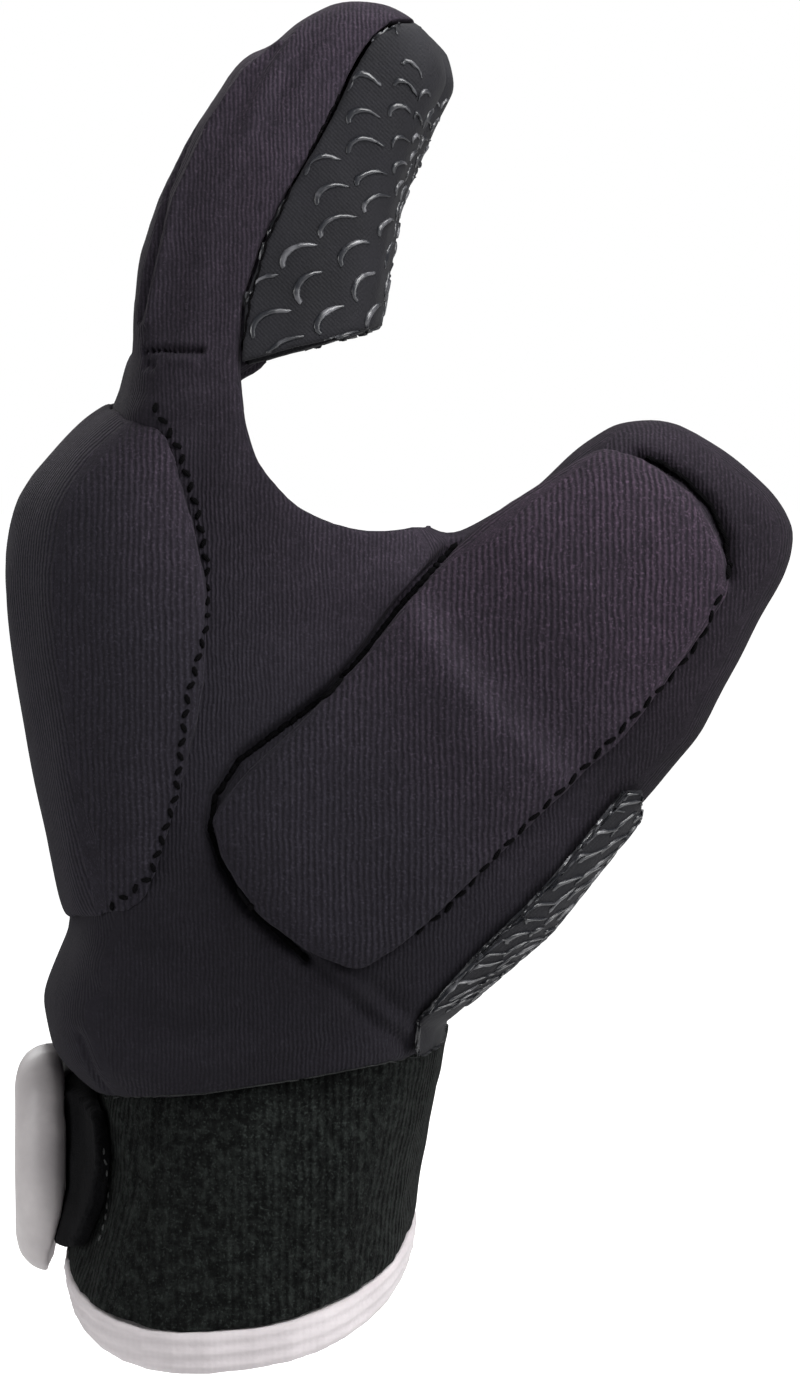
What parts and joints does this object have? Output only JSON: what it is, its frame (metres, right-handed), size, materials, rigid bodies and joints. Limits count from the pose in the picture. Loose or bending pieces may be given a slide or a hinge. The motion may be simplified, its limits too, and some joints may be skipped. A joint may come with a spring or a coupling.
{
  "type": "field hockey glove",
  "caption": "Padded left-hand field hockey glove with an open palm, closed curved fingers, foam pads on the back and thumb, grip fabric, a knitted cuff and a wrist strap with a rubber tab.",
  "frame": {"origin": "middle of the wrist opening, where the wrist goes in", "axes": "+Z from the wrist to the fingers, +X towards the palm, +Y towards the little finger"},
  "size_m": [0.1154, 0.1, 0.1955],
  "materials": {
    "knit": "dark plum grey knitted fabric with a fine upright rib",
    "pad_knit": "the same knit stretched over foam",
    "grip_fabric": "dark grey fabric with small raised glossy silicone crescents",
    "cuff_knit": "flecked black knit",
    "elastic": "pale ribbed elastic binding",
    "strap_web": "black hook and loop strap",
    "pale_rubber": "satin pale grey rubber"
  },
  "bodies": {
    "root": {"hand_shell": "knit", "thumb_sleeve": "knit", "heel_grip": "grip_fabric", "back_pad": "pad_knit", "thumb_pad": "pad_knit", "index_back": "knit", "index_grip": "grip_fabric", "index_pad": "pad_knit", "middle_back": "knit", "middle_grip": "grip_fabric", "middle_pad": "pad_knit", "ring_back": "knit", "ring_grip": "grip_fabric", "ring_pad": "pad_knit", "little_back": "knit", "little_grip": "grip_fabric", "little_pad": "pad_knit", "wrist_cuff": "cuff_knit", "cuff_binding": "elastic", "wrist_strap": "strap_web", "strap_tab": "pale_rubber"}
  },
  "joints": []
}
